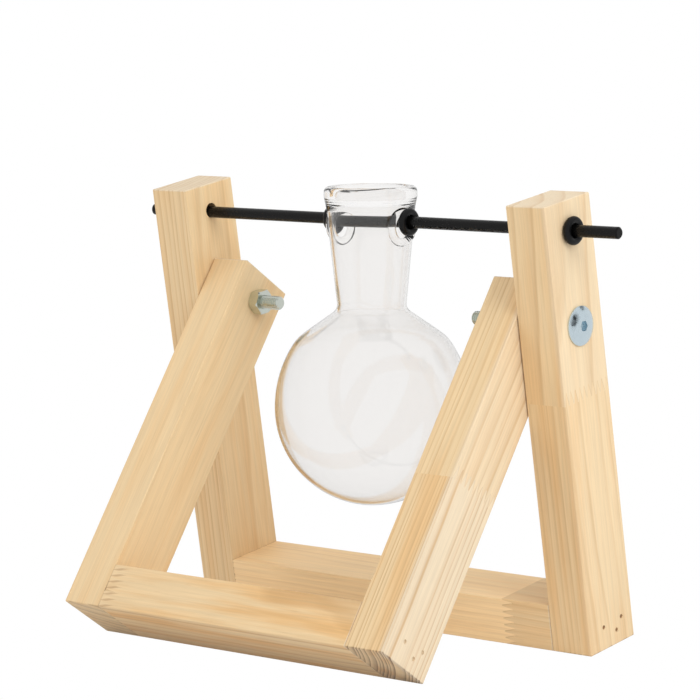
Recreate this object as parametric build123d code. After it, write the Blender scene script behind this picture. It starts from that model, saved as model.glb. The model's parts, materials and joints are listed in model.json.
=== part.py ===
from build123d import *
import math
import os

# A propagation vase: a clear glass flask hangs on a black rod across a stand of two pine frames,
# which lean against each other and are bolted together like the letter A.
# Lengths are millimetres and angles are degrees. +X runs along the rod to the right as seen from
# the front, -Y is the front and +Z is up. The origin is at the middle of the object's footprint,
# on the surface that it stands on.

# Pine sticks, the same stock for posts, legs and rails
stick_width = 20.0
stick_depth = 30.0
edge_radius = 0.5

# Tall frame: two posts with a rail between their feet
stand_width = 220.0
post_length = 190.0
post_lean = 9.0
rod_hole_from_top = 12.0
bolt_hole_below_rod_hole = 40.5
rod_hole_diameter = 6.6

# Front frame: two legs with a rail, which stands between the posts. The legs are as long as their
# lean asks for.
leg_lean = 34.51
leg_bolt_from_top = 12.5
frame_gap = 0.5

# Finger joints, where two lengths of pine are glued end to end
finger_pitch = 2.9
finger_length = 5.5
finger_tip_width = 0.6
right_post_seam_below_bolt = 30.5
right_leg_seam_below_bolt = 79.5
rear_rail_seam_from_right = 25.0
end_block_base = 0.8

# Brads that hold each rail between its two uprights
brad_diameter = 1.2
brad_length = 35.0
brad_head_diameter = 1.8
brad_head_thickness = 0.6
brad_sink = 0.5
brad_play = 0.02
# Places on the rail's end, as shares of the stick's depth and width
brad_place_shares = [(0.34, 0.48), (0.62, 0.30), (0.75, 0.53)]

# Pivot bolts and nuts, 6 mm thread
bolt_diameter = 6.0
bolt_length = 55.0
bolt_tip_chamfer = 0.7
bolt_play = 0.05
bolt_head_diameter = 16.5
bolt_head_height = 2.2
bolt_head_rim_height = 0.7
bolt_head_bevel_width = 4.0
bolt_socket_width = 4.0
bolt_socket_depth = 2.6
nut_width = 10.0
nut_height = 5.0
nut_chamfer = 0.6
nut_gap = 0.1

# Rod and rubber rings
rod_diameter = 5.0
rod_left_overhang = 15.0
rod_right_overhang = 25.0
rod_chamfer = 0.6
rod_seat_play = 0.05
ring_section = 3.4
ring_bore_play = 0.05
ring_gap = 0.1

# Flask, measured from its widest level, the belly
flask_offset = 3.5
belly_radius = 42.0
upper_belly_arc_excess = 8.0
shoulder_angle = 35.0
shoulder_fillet = 18.0
shoulder_apex_rise = 10.5
belly_to_rod = 80.0
rim_above_rod = 14.6
neck_top_radius = 19.9
neck_waist_radius = 14.8
belly_to_waist = 44.0
neck_fillet = 4.0
glass_wall = 1.3
rim_bead_width = 4.8
rim_bead_height = 6.8
side_hole_diameter = 9.6
lip_section = 3.8
lip_land = 0.2

# One overrun serves all cuts
overrun = 1.0

# Both frames stand on a rounded foot edge and share the bolts, which fixes the legs' length
lean = math.radians(post_lean)
leg_angle = math.radians(leg_lean)
post_bolt_height = post_length - rod_hole_from_top - bolt_hole_below_rod_hole
post_reach_up = post_bolt_height - edge_radius
reach_across = stick_depth / 2 - edge_radius
hinge_rise = post_reach_up * math.cos(lean) + reach_across * math.sin(lean)
hinge_z = hinge_rise + edge_radius
leg_reach_up = (hinge_rise - reach_across * math.sin(leg_angle)) / math.cos(leg_angle)
leg_bolt_height = leg_reach_up + edge_radius
leg_length = leg_bolt_height + leg_bolt_from_top

# The footprint runs from the front edge of the legs' feet to the back edge of the posts' feet
back_reach = post_reach_up * math.sin(lean) + reach_across * math.cos(lean) + edge_radius
front_reach = leg_reach_up * math.sin(leg_angle) + reach_across * math.cos(leg_angle) + edge_radius
hinge_y = (front_reach - back_reach) / 2
stand_x = (rod_left_overhang - rod_right_overhang) / 2

# Each frame is drawn upright around the bolts' axis, then leaned about it
tall_place = Location((stand_x, hinge_y, hinge_z), (post_lean, 0, 0))
front_place = Location((stand_x, hinge_y, hinge_z), (-leg_lean, 0, 0))

# The rod lies on the bottom of its oversize holes in the posts
rod_drop = (rod_hole_diameter - rod_diameter) / 2 - rod_seat_play
rod_y = hinge_y - bolt_hole_below_rod_hole * math.sin(lean)
rod_z = hinge_z + bolt_hole_below_rod_hole * math.cos(lean) - rod_drop

# Faces across the stand, from its middle
post_outer = stand_width / 2
post_inner = post_outer - stick_width
leg_outer = post_inner - frame_gap
leg_inner = leg_outer - stick_width

# Heights on the flask, from its belly. It hangs with the tops of its side holes on the rod.
upper_belly_arc_radius = belly_radius + upper_belly_arc_excess
belly_to_shoulder_apex = belly_radius + shoulder_apex_rise
rim_top = belly_to_rod + rim_above_rod
neck_taper = (neck_top_radius - neck_waist_radius) / (rim_top - belly_to_waist)
side_hole_drop = (side_hole_diameter - rod_diameter) / 2 - rod_seat_play
side_hole_height = belly_to_rod - side_hole_drop


def upright_plane(right_face, bolt_height):
    """An upright's right side: its length runs up and its depth to the back."""
    return Plane(origin=(right_face, -stick_depth / 2, -bolt_height), x_dir=(0, 0, 1), z_dir=(-1, 0, 0))


def rail_plane(left_face, bolt_height):
    """A rail's back: its length runs to the right and its width up."""
    return Plane(origin=(left_face, stick_depth / 2, -bolt_height), x_dir=(1, 0, 0), z_dir=(0, -1, 0))


def finger_points(seam, across):
    """The zigzag of a finger joint, from one side of the stick to the other."""
    finger_count = round(across / finger_pitch)
    pitch = across / finger_count
    half_tip = finger_tip_width / 2
    points = [(seam, 0)]
    for finger in range(finger_count):
        side = finger * pitch
        points.append((seam, side + half_tip))
        points.append((seam + finger_length, side + pitch / 2 - half_tip))
        points.append((seam + finger_length, side + pitch / 2 + half_tip))
        points.append((seam, side + pitch - half_tip))
    points.append((seam, across))
    return points


def soften(solid, plane, soft_start, soft_end):
    """Round a stick's long edges, and those of each end that nothing butts against."""
    along = Axis(plane.origin, plane.x_dir)
    edges = solid.edges().filter_by(along)
    by_place = solid.edges().group_by(along)
    if soft_start:
        edges += by_place[0]
    if soft_end:
        edges += by_place[-1]
    return fillet(edges, edge_radius)


def upright(right_face, bolt_height, length):
    """A post or leg of one plain length of pine."""
    plane = upright_plane(right_face, bolt_height)
    outline = Polyline((0, 0), (length, 0), (length, stick_depth), (0, stick_depth), close=True)
    return soften(extrude(plane * make_face(outline), stick_width), plane, True, True)


def jointed_pair(plane, length, seam, across, through):
    """Two lengths of pine that meet in a finger joint, which starts at the seam."""
    fingers = finger_points(seam, across)
    first_outline = Polyline((0, 0), *fingers, (0, across), close=True)
    second_outline = Polyline((length, 0), *fingers, (length, across), close=True)
    first = extrude(plane * make_face(first_outline), through)
    second = extrude(plane * make_face(second_outline), through)
    return first, second


def jointed_upright(right_face, bolt_height, length, seam):
    """A post or leg whose fingers show on its two sides."""
    plane = upright_plane(right_face, bolt_height)
    lower, upper = jointed_pair(plane, length, seam, stick_depth, stick_width)
    return soften(lower, plane, True, False), soften(upper, plane, False, True)


def jointed_rail(half_length, bolt_height, seam):
    """A rail whose fingers show on its front and back. The uprights butt against its ends."""
    plane = rail_plane(-half_length, bolt_height)
    left, right = jointed_pair(plane, 2 * half_length, seam, stick_width, stick_depth)
    return soften(left, plane, False, False), soften(right, plane, False, False)


def cross_cylinder(radius, start, end, y=0.0, z=0.0):
    """A cylinder along X, from one place to another."""
    base = Plane(origin=(min(start, end), y, z), x_dir=(0, 1, 0), z_dir=(1, 0, 0))
    return extrude(base * Circle(radius), abs(end - start))


def brad_set(outer_face, bolt_height, play):
    """Three brads, sunk into an upright's outer face; play makes the holes that they fill."""
    side = math.copysign(1, outer_face)
    head_face = outer_face if play else outer_face - side * brad_sink
    head_base = outer_face - side * (brad_sink + brad_head_thickness + play)
    tip = outer_face - side * (brad_sink + brad_length + play)
    brads = []
    for depth_share, width_share in brad_place_shares:
        y = (depth_share - 1 / 2) * stick_depth
        z = width_share * stick_width - bolt_height
        head = cross_cylinder(brad_head_diameter / 2 + play, head_face, head_base, y, z)
        shank = cross_cylinder(brad_diameter / 2 + play, head_base, tip, y, z)
        brads.append(head + shank)
    return brads


def drill(solid, cutters):
    """Cut each cutter from the solid."""
    for cutter in cutters:
        solid = solid - cutter
    return solid


def pivot_bolt():
    """A flat-head socket bolt along X, head to the right, its head's underside at zero."""
    head_radius = bolt_head_diameter / 2
    face_radius = head_radius - bolt_head_bevel_width
    outline = Polyline(
        (0, 0),
        (head_radius, 0),
        (head_radius, bolt_head_rim_height),
        (face_radius, bolt_head_height),
        (0, bolt_head_height),
        close=True,
    )
    head = Rotation(0, 90, 0) * revolve(Plane.XZ * make_face(outline), Axis.Z)
    shank = cross_cylinder(bolt_diameter / 2, -bolt_length, 0)
    shank = chamfer(shank.edges().group_by(Axis.X)[0], bolt_tip_chamfer)
    socket_plane = Plane(origin=(bolt_head_height, 0, 0), x_dir=(0, 1, 0), z_dir=(-1, 0, 0))
    socket = extrude(
        socket_plane * RegularPolygon(bolt_socket_width / 2, 6, major_radius=False), bolt_socket_depth
    )
    return head + shank - socket


def pivot_nut():
    """A hexagon nut along X, its seat at zero and its body to the left."""
    nut_plane = Plane(origin=(0, 0, 0), x_dir=(0, 1, 0), z_dir=(-1, 0, 0))
    body = extrude(nut_plane * RegularPolygon(nut_width / 2, 6, major_radius=False), nut_height)
    corner_radius = nut_width / 2 / math.cos(math.radians(30))
    envelope = cross_cylinder(corner_radius, -nut_height, 0)
    envelope = chamfer(envelope.edges().filter_by(GeomType.CIRCLE), nut_chamfer)
    bore = cross_cylinder(bolt_diameter / 2 + bolt_play, -nut_height - overrun, overrun)
    return (body & envelope) - bore


def rubber_ring():
    """A round rubber ring whose bore is on the X axis."""
    bore_radius = rod_diameter / 2 + ring_bore_play
    return Rotation(0, 90, 0) * Torus(bore_radius + ring_section / 2, ring_section / 2)


def neck_radius(height):
    """The outside radius of the tapered neck at a height above the belly."""
    return neck_waist_radius + neck_taper * (height - belly_to_waist)


def blown_body(wall):
    """The flask's bulb and neck as one solid, drawn in by the wall; zero gives the outside."""
    slope = math.tan(math.radians(shoulder_angle))
    apex = belly_to_shoulder_apex - wall / math.cos(math.radians(shoulder_angle))
    neck_end = rim_top - rim_bead_height / 2

    # Where the sloping shoulder meets the neck
    corner_x = (neck_radius(apex) - wall) / (1 + neck_taper * slope)
    corner = (corner_x, apex - slope * corner_x)

    # Where it meets the upper belly, whose arc is centred beyond the flask's axis
    centre_x = belly_radius - upper_belly_arc_radius
    arc_radius = upper_belly_arc_radius - wall
    middle = centre_x + slope * apex
    spread = middle**2 - (1 + slope**2) * (centre_x**2 + apex**2 - arc_radius**2)
    meet_x = (middle + math.sqrt(spread)) / (1 + slope**2)
    meet = (meet_x, apex - slope * meet_x)
    arc_angle = math.degrees(math.atan2(meet[1], meet_x - centre_x))

    lower_arc = CenterArc((0, 0), belly_radius - wall, -90, 90)
    upper_arc = CenterArc((centre_x, 0), arc_radius, 0, arc_angle)
    neck_side = (neck_radius(neck_end) - wall, neck_end)
    rest = Polyline(upper_arc @ 1, corner, neck_side, (0, neck_end), lower_arc @ 0)
    outline = make_face([lower_arc, upper_arc, rest])
    outline = fillet(outline.vertices().sort_by_distance(corner)[0], neck_fillet + wall)
    outline = fillet(outline.vertices().sort_by_distance(meet)[0], shoulder_fillet - wall)
    return revolve(Plane.XZ * outline, Axis.Z)


def glass_flask():
    """The flask around its own axis, with the belly at zero height."""
    bead_plane = Plane.XZ * Location((neck_top_radius - rim_bead_width / 2, rim_top - rim_bead_height / 2, 0))
    bead = revolve(bead_plane * SlotOverall(rim_bead_height, rim_bead_width, rotation=90), Axis.Z)
    hole_radius = side_hole_diameter / 2
    lip_radius = hole_radius + lip_section / 2 - lip_land
    lip = Rotation(0, 90, 0) * Torus(lip_radius, lip_section / 2)
    body = blown_body(0) - blown_body(glass_wall) + bead
    body += Location((lip_centre, 0, side_hole_height)) * lip
    body += Location((-lip_centre, 0, side_hole_height)) * lip
    return body - cross_cylinder(hole_radius, -belly_radius, belly_radius, 0, side_hole_height)


# Faces of the raised glass lips around the side holes, from the flask's axis
lip_centre = neck_radius(side_hole_height) - glass_wall / 2
lip_face = lip_centre + lip_section / 2

# Tall frame
post_bolt_hole = cross_cylinder(bolt_diameter / 2 + bolt_play, -post_outer - overrun, post_outer + overrun)
rod_hole = cross_cylinder(
    rod_hole_diameter / 2, -post_outer - overrun, post_outer + overrun, 0, bolt_hole_below_rod_hole
)
left_post_holes = brad_set(-post_outer, post_bolt_height, brad_play)
right_post_holes = brad_set(post_outer, post_bolt_height, brad_play)

left_post = upright(-post_inner, post_bolt_height, post_length)
right_post_lower, right_post_upper = jointed_upright(
    post_outer, post_bolt_height, post_length, post_bolt_height - right_post_seam_below_bolt
)
rear_rail_long_piece, rear_rail_short_piece = jointed_rail(
    post_inner, post_bolt_height, 2 * post_inner - rear_rail_seam_from_right
)
tall_nodes = {
    "left_post": drill(left_post, [post_bolt_hole, rod_hole, *left_post_holes]),
    "right_post_lower": drill(right_post_lower, right_post_holes),
    "right_post_upper": drill(right_post_upper, [post_bolt_hole, rod_hole]),
    "rear_rail_long_piece": drill(rear_rail_long_piece, left_post_holes),
    "rear_rail_short_piece": drill(rear_rail_short_piece, right_post_holes),
    "left_post_brads": Compound(children=brad_set(-post_outer, post_bolt_height, 0)),
    "right_post_brads": Compound(children=brad_set(post_outer, post_bolt_height, 0)),
    "left_pivot_bolt": Location((-post_outer, 0, 0), (0, 0, 180)) * pivot_bolt(),
    "right_pivot_bolt": Location((post_outer, 0, 0)) * pivot_bolt(),
    "left_pivot_nut": Location((nut_gap - leg_inner, 0, 0), (0, 0, 180)) * pivot_nut(),
    "right_pivot_nut": Location((leg_inner - nut_gap, 0, 0)) * pivot_nut(),
}

# Front frame
leg_bolt_hole = cross_cylinder(bolt_diameter / 2 + bolt_play, -leg_outer - overrun, leg_outer + overrun)
left_leg_holes = brad_set(-leg_outer, leg_bolt_height, brad_play)
right_leg_holes = brad_set(leg_outer, leg_bolt_height, brad_play)

left_leg = upright(-leg_inner, leg_bolt_height, leg_length)
right_leg_lower, right_leg_upper = jointed_upright(
    leg_outer, leg_bolt_height, leg_length, leg_bolt_height - right_leg_seam_below_bolt
)
front_rail_end_block, front_rail = jointed_rail(leg_inner, leg_bolt_height, end_block_base)
front_nodes = {
    "left_leg": drill(left_leg, [leg_bolt_hole, *left_leg_holes]),
    "right_leg_lower": drill(right_leg_lower, right_leg_holes),
    "right_leg_upper": drill(right_leg_upper, [leg_bolt_hole]),
    "front_rail_end_block": drill(front_rail_end_block, left_leg_holes),
    "front_rail": drill(front_rail, left_leg_holes + right_leg_holes),
    "left_leg_brads": Compound(children=brad_set(-leg_outer, leg_bolt_height, 0)),
    "right_leg_brads": Compound(children=brad_set(leg_outer, leg_bolt_height, 0)),
}

# Rod, rings and flask, drawn on the rod's axis
rod = cross_cylinder(rod_diameter / 2, -post_outer - rod_left_overhang, post_outer + rod_right_overhang)
end_ring_place = post_outer + ring_gap + ring_section / 2
neck_ring_place = lip_face + ring_gap + ring_section / 2
hung_nodes = {
    "rod": chamfer(rod.edges().filter_by(GeomType.CIRCLE), rod_chamfer),
    "flask": Location((flask_offset, 0, -belly_to_rod)) * glass_flask(),
    "neck_ring_left": Location((flask_offset - neck_ring_place, 0, 0)) * rubber_ring(),
    "neck_ring_right": Location((flask_offset + neck_ring_place, 0, 0)) * rubber_ring(),
    "end_ring_left": Location((-end_ring_place, 0, 0)) * rubber_ring(),
    "end_ring_right": Location((end_ring_place, 0, 0)) * rubber_ring(),
}
rod_place = Location((stand_x, rod_y, rod_z))

nodes = {}
for group, place in ((tall_nodes, tall_place), (front_nodes, front_place), (hung_nodes, rod_place)):
    for name, shape in group.items():
        nodes[name] = place * shape

os.makedirs("parts", exist_ok=True)
for name, shape in nodes.items():
    export_step(shape, f"parts/{name}.step")

whole = Compound(children=list(nodes.values())).bounding_box()
print(f"legs {leg_length:.3f} long, their bolt {leg_bolt_height:.3f} above the foot")
print(f"bolt axis at x {stand_x:.3f}, y {hinge_y:.3f}, z {hinge_z:.3f}")
print(f"rod axis at y {rod_y:.3f}, z {rod_z:.3f}, flask axis at x {stand_x + flask_offset:.3f}")
print(f"lip face {lip_face:.3f} from the flask's axis, neck rings {neck_ring_place:.3f}")
print(f"box {whole.min} to {whole.max}")
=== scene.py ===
# Propagation vase: a clear glass flask on a black rod across a stand of two bolted pine frames.
# Lengths are metres in the row's frame: +X to the right along the rod, -Y the front, +Z up.

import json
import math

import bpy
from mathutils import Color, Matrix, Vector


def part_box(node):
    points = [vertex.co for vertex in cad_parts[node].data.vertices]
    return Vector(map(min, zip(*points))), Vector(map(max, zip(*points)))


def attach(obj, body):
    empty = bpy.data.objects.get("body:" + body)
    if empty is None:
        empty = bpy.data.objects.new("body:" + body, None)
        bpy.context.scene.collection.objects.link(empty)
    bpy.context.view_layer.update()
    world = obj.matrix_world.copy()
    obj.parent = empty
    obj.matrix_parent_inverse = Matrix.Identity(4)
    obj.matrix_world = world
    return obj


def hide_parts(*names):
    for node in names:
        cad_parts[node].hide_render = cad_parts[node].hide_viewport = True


bl_info = {
    "name": "Propagation Vase",
    "version": (1, 0, 0),
    "blender": (4, 5, 0),
    "location": "3D View > Sidebar > Vase",
    "description": "Finishes a glass flask on its pine stand: grain, glass, zinc, rubber and studio",
    "category": "Object",
}

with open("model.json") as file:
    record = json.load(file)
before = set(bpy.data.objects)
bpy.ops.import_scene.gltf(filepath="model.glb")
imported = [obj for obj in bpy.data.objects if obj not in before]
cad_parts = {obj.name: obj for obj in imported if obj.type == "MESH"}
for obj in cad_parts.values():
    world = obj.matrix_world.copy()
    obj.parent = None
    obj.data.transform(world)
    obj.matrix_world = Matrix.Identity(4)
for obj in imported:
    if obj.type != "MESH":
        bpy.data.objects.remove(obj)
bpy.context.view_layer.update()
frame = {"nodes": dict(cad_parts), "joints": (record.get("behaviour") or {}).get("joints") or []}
joint_places = {joint["name"]: Vector(joint.get("pos_m", (0, 0, 0))) for joint in frame["joints"]}

MM = 0.001
BOLT_AXIS = joint_places["front_frame_fold"]
FLASK_HANGER = joint_places["flask_swing"]


# Settings

def number(name, description, default, **kind):
    """A number that a user can change."""
    return bpy.props.FloatProperty(name=name, description=description, default=default, **kind)


def length(name, description, metres):
    """A length that a user can change."""
    return number(name, description, metres, precision=5, unit="LENGTH", subtype="DISTANCE")


def angle(name, description, degrees):
    """An angle that a user can change."""
    return number(name, description, math.radians(degrees), unit="ROTATION", subtype="ANGLE")


def share(name, description, default):
    """A number from nothing to all."""
    return number(name, description, default, min=0, max=1, subtype="FACTOR")


def colour(name, description, default):
    """A colour as it looks on a screen."""
    return bpy.props.FloatVectorProperty(
        name=name, description=description, default=default, size=3, min=0, max=1, subtype="COLOR_GAMMA"
    )


class PineSettings(bpy.types.PropertyGroup):
    """The sticks of the two frames."""

    post_lean: angle("Post Lean", "How far the tall frame leans forward", 9.0)
    leg_lean: angle("Leg Lean", "How far the front frame leans back", 34.51)
    early_wood: colour("Early Wood", "The pale wood between the lines", (0.915, 0.80, 0.625))
    late_wood: colour("Late Wood", "The lines of the growth rings", (0.77, 0.60, 0.40))
    warm_wood: colour("Warm Wood", "Broad resinous streaks", (0.89, 0.705, 0.47))
    end_line: colour("End Line", "The rings on the sawn feet", (0.38, 0.22, 0.13))
    # Painted light: the paler colour drawn on the sides towards the key lamp and on the tops, where the
    # light falls
    painted_light_wood: colour("Painted Light Wood", "The bleached sides", (0.90, 0.835, 0.735))
    glue: colour("Glue", "The glue in the finger joints", (0.60, 0.42, 0.28))
    finger_length: length("Finger Length", "From the base of a finger to its tip", 5.5 * MM)
    post_finger_pitch: length("Post Finger Pitch", "Between fingers on an upright's side", 3.0 * MM)
    rail_finger_pitch: length("Rail Finger Pitch", "Between fingers on a rail's front", 20 / 7 * MM)


class MetalSettings(bpy.types.PropertyGroup):
    """Bolts, nuts, brads and the rod."""

    zinc: colour("Zinc", "Bright zinc plating", (0.83, 0.89, 0.92))
    thread_zinc: colour("Thread Zinc", "The duller plating of threads and nuts", (0.83, 0.85, 0.815))
    zinc_roughness: share("Zinc Roughness", "How dull the plating is", 0.2)
    brad_steel: colour("Brad Steel", "The sunk heads of the brads", (0.58, 0.44, 0.32))
    brad_filler: colour("Brad Filler", "The legs' brads, dusted over with wood", (0.84, 0.75, 0.62))
    rod_black: colour("Rod Black", "The rod's satin finish", (0.03, 0.028, 0.027))
    rubber_black: colour("Rubber Black", "The rubber rings", (0.03, 0.03, 0.035))
    head_rim_height: length("Head Rim Height", "The straight rim of the bolt's head", 0.7 * MM)
    head_height: length("Head Height", "The whole height of the bolt's head", 2.2 * MM)
    head_radius: length("Head Radius", "The bolt's head", 8.25 * MM)
    head_bevel: length("Head Bevel", "The slope from the rim to the flat face", 4.0 * MM)
    head_edge: length("Head Edge", "The rounding of the head's edges", 0.16 * MM)
    socket_radius: length("Socket Radius", "Across the corners of the hexagon socket, halved", 2.31 * MM)
    socket_depth: length("Socket Depth", "The hexagon socket", 2.6 * MM)
    bolt_radius: length("Bolt Radius", "Over the thread's crests", 3.0 * MM)
    bolt_length: length("Bolt Length", "Under the head", 55.0 * MM)
    thread_root_radius: length("Thread Root Radius", "At the bottom of the thread", 2.45 * MM)
    thread_pitch: length("Thread Pitch", "From crest to crest", 1.0 * MM)
    thread_length: length("Thread Length", "The threaded end of the bolt", 30.0 * MM)
    tip_chamfer: length("Tip Chamfer", "The bolt's tip", 0.7 * MM)


class GlassSettings(bpy.types.PropertyGroup):
    """The flask, measured from its widest level, the belly."""

    belly_radius: length("Belly Radius", "The bulb at its widest", 42.0 * MM)
    upper_arc_radius: length("Upper Arc Radius", "The bulb's side above the belly", 50.0 * MM)
    shoulder_angle: angle("Shoulder Angle", "The shoulder's slope", 35.0)
    shoulder_round: length("Shoulder Round", "Where the bulb turns into the shoulder", 18.0 * MM)
    shoulder_apex_rise: length("Shoulder Apex Rise", "The slope's rise above a round bulb", 10.5 * MM)
    belly_to_hanger: length("Belly To Hanger", "From the belly up to the rod", 80.0 * MM)
    rim_above_hanger: length("Rim Above Hanger", "From the rod up to the rim", 14.6 * MM)
    neck_top_radius: length("Neck Top Radius", "The neck at the rim", 19.9 * MM)
    neck_waist_radius: length("Neck Waist Radius", "The neck at its foot", 14.8 * MM)
    waist_height: length("Waist Height", "Where the neck's foot is", 44.0 * MM)
    neck_round: length("Neck Round", "Where the shoulder turns into the neck", 4.0 * MM)
    wall: length("Wall", "The glass", 1.3 * MM)
    bead_width: length("Bead Width", "The thick rim", 4.8 * MM)
    bead_height: length("Bead Height", "The thick rim", 6.8 * MM)
    bead_run_out: length("Bead Run Out", "Where the neck swells into the rim", 2.0 * MM)
    side_hole_drop: length("Side Hole Drop", "From the rod down to the side holes' middle", 2.25 * MM)
    lip_radius: length("Lip Radius", "The side holes' lips, to the middle of their section", 6.6 * MM)
    lip_section_radius: length("Lip Section Radius", "The raised lips' own thickness, halved", 1.8 * MM)
    lip_stand: length("Lip Stand", "How far the lips stand out of the neck", 1.0 * MM)
    tint: colour("Tint", "What the glass does to light that passes straight through", (0.972, 0.968, 0.964))
    edge_tint: colour("Edge Tint", "The same where it is seen at a slant", (0.72, 0.70, 0.675))
    refraction: number("Refraction", "How strongly the glass bends light", 1.47, min=1)
    clear_shadow: share("Clear Shadow", "How much light the glass lets into its shadow", 0.85)


class StageSettings(bpy.types.PropertyGroup):
    """The camera, the lamps and the floor."""

    camera_azimuth: angle("Camera Azimuth", "Round to the right from the front", 41.3494)
    camera_elevation: angle("Camera Elevation", "Up from the level", 6.4256)
    camera_roll: angle("Camera Roll", "About the line of sight", -0.722)
    camera_distance: length("Camera Distance", "From the aim", 1452.5568 * MM)
    aim: bpy.props.FloatVectorProperty(
        name="Aim",
        description="The point that the camera is set up around",
        default=(-5.0 * MM, 39.27 * MM, 89.93 * MM),
        subtype="XYZ_LENGTH",
    )
    aim_right: length("Aim Right", "How far the aim is to the right of the picture's middle", 15.9036 * MM)
    aim_up: length("Aim Up", "How far the aim is above the picture's middle", -30.2625 * MM)
    lens: number("Lens", "Focal length for a 36 mm sensor", 173.197, subtype="DISTANCE_CAMERA")
    floor_size: length("Floor Size", "The floor's side", 4.0)
    sky_light: number("Sky Light", "The even light from all round", 0.78, min=0)
    key_power: number("Key Power", "The lamp above and to the right, in watts", 5.4, min=0)
    fill_power: number("Fill Power", "The lamp at the front left, in watts", 1.5, min=0)


# Shader nodes

def paint(shown):
    """A colour as the shaders take it, from one as it looks on a screen."""
    return (*Color(shown).from_srgb_to_scene_linear(), 1.0)


def feed(tree, socket, value):
    """Link a socket to another node's output, or give it a plain value."""
    if isinstance(value, bpy.types.NodeSocket):
        tree.links.new(value, socket)
    else:
        socket.default_value = value


def add_node(tree, kind, inputs=None, **settings):
    """A node with its settings and inputs."""
    node = tree.nodes.new(kind)
    for name, value in settings.items():
        setattr(node, name, value)
    for key, value in (inputs or {}).items():
        feed(tree, node.inputs[key], value)
    return node


def maths(tree, operation, *values, clamp=False):
    """The result of a sum on numbers."""
    inputs = dict(enumerate(values))
    return add_node(tree, "ShaderNodeMath", inputs, operation=operation, use_clamp=clamp).outputs[0]


def vectors(tree, operation, *values, out="Vector"):
    """The result of a sum on vectors."""
    inputs = dict(enumerate(values))
    return add_node(tree, "ShaderNodeVectorMath", inputs, operation=operation).outputs[out]


def scaled(tree, vector, factor):
    """A vector or colour times a number."""
    result = vectors(tree, "SCALE", vector)
    feed(tree, result.node.inputs["Scale"], factor)
    return result


def between(tree, value, low, high, to_low=0.0, to_high=1.0):
    """A smooth step from one value to another."""
    inputs = {"Value": value, "From Min": low, "From Max": high, "To Min": to_low, "To Max": to_high}
    return add_node(tree, "ShaderNodeMapRange", inputs, interpolation_type="SMOOTHSTEP").outputs[0]


def mix(tree, factor, first, second):
    """Two colours mixed."""
    node = add_node(tree, "ShaderNodeMix", data_type="RGBA")
    for key, value in ((0, factor), (6, first), (7, second)):
        feed(tree, node.inputs[key], value)
    return node.outputs[2]


def noise(tree, place, scale, detail=2.0, roughness=0.5):
    """Soft noise at a scale of its own along each axis."""
    stretched = vectors(tree, "MULTIPLY", place, scale)
    inputs = {"Vector": stretched, "Scale": 1.0, "Detail": detail, "Roughness": roughness}
    return add_node(tree, "ShaderNodeTexNoise", inputs).outputs[0]


def new_group(name, inputs, outputs):
    """An empty node group with the named sockets of each kind, and where its insides start and end."""
    group = bpy.data.node_groups.new(name, "ShaderNodeTree")
    for in_out, sockets in (("INPUT", inputs), ("OUTPUT", outputs)):
        for kind, names in sockets.items():
            for socket in names:
                group.interface.new_socket(socket, in_out=in_out, socket_type="NodeSocket" + kind)
    return group, group.nodes.new("NodeGroupInput").outputs, group.nodes.new("NodeGroupOutput").inputs


def use_group(tree, group, inputs):
    """A group placed in a material."""
    node = tree.nodes.new("ShaderNodeGroup")
    node.node_tree = group
    for key, value in inputs.items():
        feed(tree, node.inputs[key], value)
    return node.outputs


def snake(socket):
    """A socket's name as a setting's is written."""
    return socket.lower().replace(" ", "_")


def new_material(name):
    """A material with one plain Principled shader."""
    material = bpy.data.materials.new(name)
    material.use_nodes = True
    return material, material.node_tree, material.node_tree.nodes["Principled BSDF"]


def object_place(tree):
    """A point on the piece, on the row's axes."""
    return tree.nodes.new("ShaderNodeTexCoord").outputs["Object"]


def bump(tree, shader, height, distance):
    """Raise a shader's surface."""
    node = add_node(tree, "ShaderNodeBump", {"Height": height, "Distance": distance, "Strength": 1.0})
    feed(tree, shader.inputs["Normal"], node.outputs["Normal"])


def dress(node_name, material):
    """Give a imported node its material."""
    mesh = frame["nodes"][node_name].data
    mesh.materials.clear()
    mesh.materials.append(material)


# Pine

# How dark a growth ring is from its early wood, at 0, to its late wood, near 1
RING_SHARES = [(0.0, 0.0), (0.45, 0.08), (0.74, 0.42), (0.88, 1.0), (0.95, 0.75), (1.0, 0.0)]

# The sockets that a length's own figure fills, and those for the colours in the settings
FIGURE_VECTORS = ("Pith", "Drift", "Knot")
FIGURE_NUMBERS = (
    "Ring Gap", "Wander", "Line Strength", "Warmth", "Pallor", "Tone", "Knot Rise", "Knot Reach"
)
PINE_COLOURS = ("Early Wood", "Late Wood", "Warm Wood", "Painted Light Wood", "End Line")

# How each kind of noise is stretched, per millimetre across, to the back and along the stick
WANDER_SCALE = (0.035, 0.035, 0.009)
PATCH_SCALE = (0.09, 0.09, 0.014)
FIBRE_SCALE = (1.5, 1.5, 0.035)
FLECK_SCALE = (2.4, 2.4, 0.13)
WARM_SCALE = (0.13, 0.13, 0.011)
KNOT_STRETCH = (1.0, 1.0, 0.5)

# How the rings' width varies, per ring and in rings, and how dark the faintest line is
UNEVEN_SCALE = 0.31
UNEVEN_REACH = 2.0
FAINTEST_LINE = 0.4

# Smooth steps: where each starts and ends, and the values that it goes from and to. The first five
# read noise, the others millimetres across the stick, above its foot or below its top.
PATCH_STEP = (0.3, 0.6, 0.55, 1.0)
FLECK_STEP = (0.70, 0.80, 0.0, 0.22)
WARM_STEP = (0.42, 0.68, 0.0, 1.0)
FIBRE_TONE_STEP = (0.25, 0.75, 0.93, 1.05)
FIBRE_ROUGHNESS_STEP = (0.2, 0.8, 0.50, 0.64)
# Painted light: where the paler side towards the key lamp, and the paler top end, start and end
PAINTED_SIDE_LIGHT_STEP = (17.0, 19.8, 0.0, 1.0)
PAINTED_TOP_LIGHT_STEP = (0.2, 0.7, 0.7, 0.0)
FOOT_STEP = (0.2, 0.7, 1.0, 0.0)

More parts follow.
